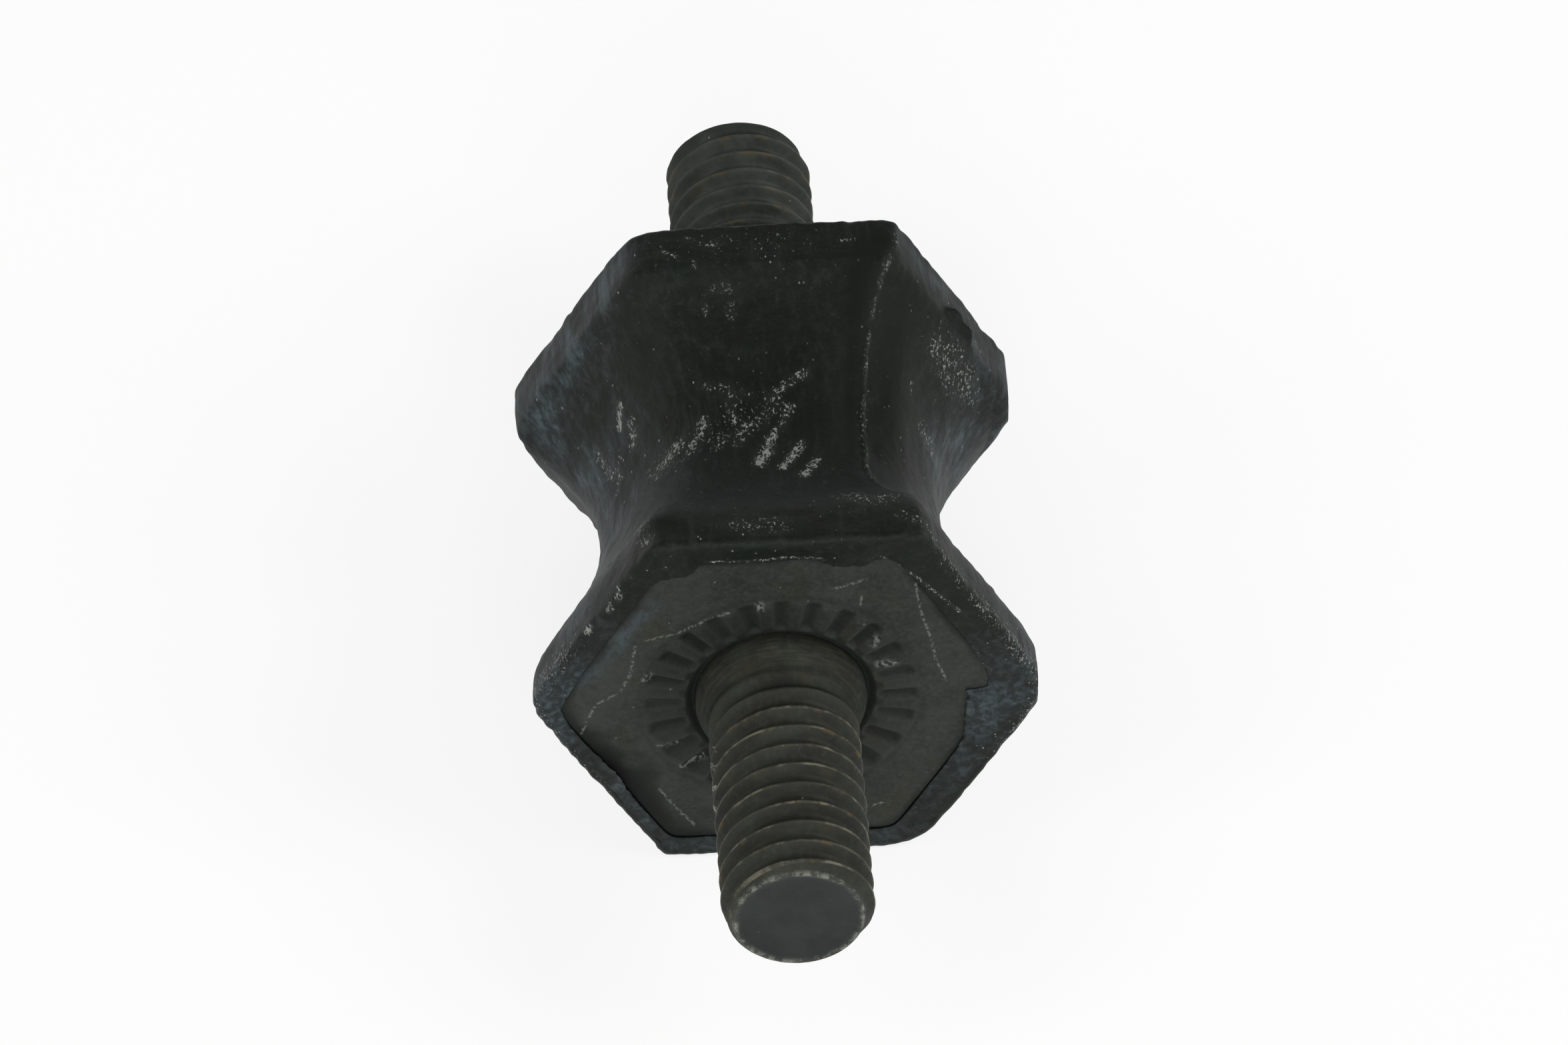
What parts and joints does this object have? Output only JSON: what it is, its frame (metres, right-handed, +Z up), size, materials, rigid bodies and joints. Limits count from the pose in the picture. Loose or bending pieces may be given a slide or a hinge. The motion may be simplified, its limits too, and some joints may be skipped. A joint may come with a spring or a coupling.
{
  "type": "air pump mount",
  "caption": "Hexagonal waisted rubber bobbin mount with a bonded steel plate and a staked threaded stud at each end; isolates a pump from its bracket.",
  "frame": {"origin": "on the surface that the mount lies on, under the middle of its length and width", "axes": "+Z up from the flat of the hexagon that it lies on; Y along both studs, with the front stud towards -Y; X across the corners of the hexagon"},
  "size_m": [0.02, 0.042, 0.0175],
  "materials": {
    "moulded_rubber": "moulded black rubber, scuffed and dusty",
    "phosphated_plate": "dark phosphated steel sheet, scratched",
    "oiled_stud": "dark oiled steel thread with worn crests"
  },
  "bodies": {
    "root": {"rubber_body": "moulded_rubber", "front_plate": "phosphated_plate", "front_stud": "oiled_stud", "rear_plate": "phosphated_plate", "rear_stud": "oiled_stud"}
  },
  "joints": []
}
